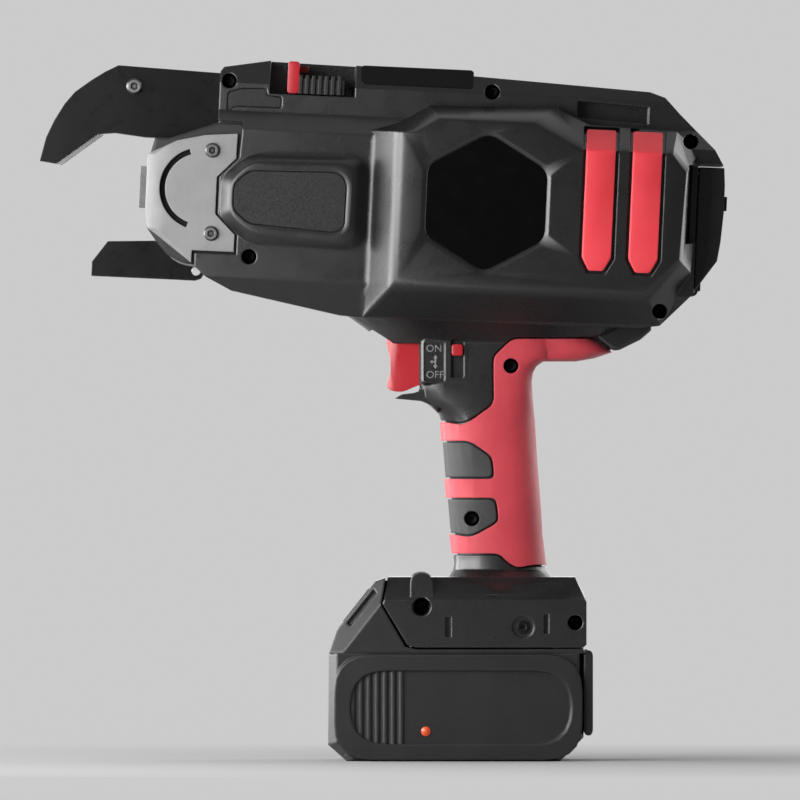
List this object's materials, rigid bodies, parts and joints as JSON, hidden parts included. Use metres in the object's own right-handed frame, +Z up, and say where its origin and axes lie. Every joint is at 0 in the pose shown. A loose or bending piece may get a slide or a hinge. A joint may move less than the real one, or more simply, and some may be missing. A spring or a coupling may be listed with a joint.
{
  "type": "rebar tying tool",
  "caption": "Pistol-shaped cordless rebar tier with a curling arm and lower guide at the nose, a wire reel behind a rear door, a soft grip and a slide-on battery pack.",
  "frame": {"origin": "centre of the battery pack's base, on the floor", "axes": "+Z up, -X towards the nose, +X towards the operator, -Y the tool's left-hand side"},
  "size_m": [0.2991, 0.1058, 0.3043],
  "materials": {
    "housing": "textured charcoal nylon",
    "grip": "soft red overmould",
    "bumper": "smooth red rubber",
    "red_plastic": "satin red",
    "panel": "bare black panels",
    "plate": "grey satin die casting",
    "casting": "black die casting",
    "black_steel": "blackened steel",
    "steel": "bright steel",
    "motor": "plated can",
    "brass": "bright brass",
    "board": "green board",
    "pack_case": "fine textured black",
    "cell": "bare cans"
  },
  "bodies": {
    "tool": {"left_housing": "housing", "right_housing": "housing", "left_grip": "grip", "right_grip": "grip", "left_bumpers": "bumper", "right_bumpers": "bumper", "left_panels": "panel", "left_nose_plate": "plate", "right_nose_plate": "plate", "nose_screws": "steel", "housing_screws": "steel", "nose_frame": "casting", "curl_arm": "black_steel", "curl_insert": "steel", "arm_screw": "steel", "contact_plate": "steel", "guide_pin": "steel", "twist_motor": "motor", "gearbox": "casting", "cutter_pin": "steel", "feed_motor": "motor", "lever_pin": "steel", "wire_tube": "steel", "reel_stubs": "steel", "door_pin": "steel", "trigger_pin": "steel", "trigger_switch": "panel", "power_switch": "panel", "control_board": "board", "terminal_block": "panel", "terminal_blades": "brass"},
    "trigger": {"trigger": "red_plastic"},
    "power_knob": {"power_knob": "red_plastic"},
    "release": {"release_slide": "red_plastic", "release_pad": "housing"},
    "lever": {"release_lever": "black_steel", "idler_pin": "steel"},
    "idler": {"feed_idler": "steel"},
    "feed_drive": {"feed_drive": "steel"},
    "feed_pinion": {"feed_pinion": "brass"},
    "twist_shaft": {"twist_shaft": "steel"},
    "hook_sleeve": {"hook_sleeve": "black_steel"},
    "cutter": {"cutter_lever": "black_steel"},
    "reel": {"reel": "panel", "wire_coil": "steel"},
    "reel_door": {"reel_door": "housing"},
    "door_latch": {"door_latch": "housing"},
    "lower_guide": {"lower_guide": "black_steel"},
    "pack": {"pack_lower_case": "pack_case", "pack_upper_case": "pack_case", "pack_cells": "cell", "pack_contacts": "brass", "pack_bumper": "housing"},
    "pack_button": {"pack_button": "housing"}
  },
  "joints": [
    {"name": "trigger_pull", "type": "hinge", "parent": "tool", "child": "trigger", "pos_m": [-0.02489, 0, 0.1849], "axis": [0, -1, 0], "range_deg": [0, 8], "stiffness_Nm_per_rad": 0.5, "springref_deg": -5.73},
    {"name": "power_slide", "type": "slide", "parent": "tool", "child": "power_knob", "axis": [0, 0, -1], "range_m": [0, 0.0075]},
    {"name": "release_slide", "type": "slide", "parent": "tool", "child": "release", "axis": [-0.999, 0, 0.0454], "range_m": [0, 0.0065]},
    {"name": "lever_lift", "type": "hinge", "parent": "tool", "child": "lever", "pos_m": [-0.0188, 0, 0.29141], "axis": [0, -1, 0], "range_deg": [0, 3.2]},
    {"name": "idler_spin", "type": "hinge", "parent": "lever", "child": "idler", "pos_m": [-0.00296, 0, 0.28762], "axis": [0, 1, 0], "continuous": true},
    {"name": "feed_spin", "type": "hinge", "parent": "tool", "child": "feed_drive", "pos_m": [-0.00349, 0, 0.27583], "axis": [0, 1, 0], "continuous": true},
    {"name": "pinion_spin", "type": "hinge", "parent": "tool", "child": "feed_pinion", "pos_m": [0.01245, 0, 0.26356], "axis": [0, 1, 0], "continuous": true},
    {"name": "twist_spin", "type": "hinge", "parent": "tool", "child": "twist_shaft", "pos_m": [-0.10687, 0, 0.24787], "axis": [0.999, 0, -0.0454], "continuous": true},
    {"name": "sleeve_slide", "type": "slide", "parent": "twist_shaft", "child": "hook_sleeve", "axis": [-0.999, 0, 0.0454], "range_m": [0, 0.008]},
    {"name": "cutter_swing", "type": "hinge", "parent": "tool", "child": "cutter", "pos_m": [-0.09263, 0, 0.28579], "axis": [0, 1, 0], "range_deg": [0, 20]},
    {"name": "reel_spin", "type": "hinge", "parent": "tool", "child": "reel", "pos_m": [0.07563, 0, 0.23268], "axis": [0, 1, 0], "continuous": true},
    {"name": "door_open", "type": "hinge", "parent": "tool", "child": "reel_door", "pos_m": [0.10037, 0, 0.20427], "axis": [0, 1, 0], "range_deg": [0, 100]},
    {"name": "latch_slide", "type": "slide", "parent": "reel_door", "child": "door_latch", "axis": [-0.0454, 0, -0.999], "range_m": [0, 0.003], "stiffness_N_per_m": 900, "springref_m": -0.003},
    {"name": "guide_swing", "type": "hinge", "parent": "tool", "child": "lower_guide", "pos_m": [-0.11521, 0, 0.21289], "axis": [0, -1, 0], "range_deg": [0, 25], "stiffness_Nm_per_rad": 0.4, "springref_deg": -17.19},
    {"name": "pack_slide", "type": "slide", "parent": "tool", "child": "pack", "axis": [-1, 0, 0], "range_m": [0, 0.08]},
    {"name": "button_press", "type": "slide", "parent": "pack", "child": "pack_button", "axis": [-0.6176, 0, -0.7865], "range_m": [0, 0.003], "stiffness_N_per_m": 1200, "springref_m": -0.003}
  ],
  "couplings": [
    {"joint": "pinion_spin", "follows": "feed_spin", "ratio": -2.3333},
    {"joint": "idler_spin", "follows": "feed_spin", "ratio": -1},
    {"joint": "lever_lift", "follows": "release_slide", "rad_per_m": 8.05},
    {"joint": "cutter_swing", "follows": "sleeve_slide", "rad_per_m": 41.7}
  ]
}
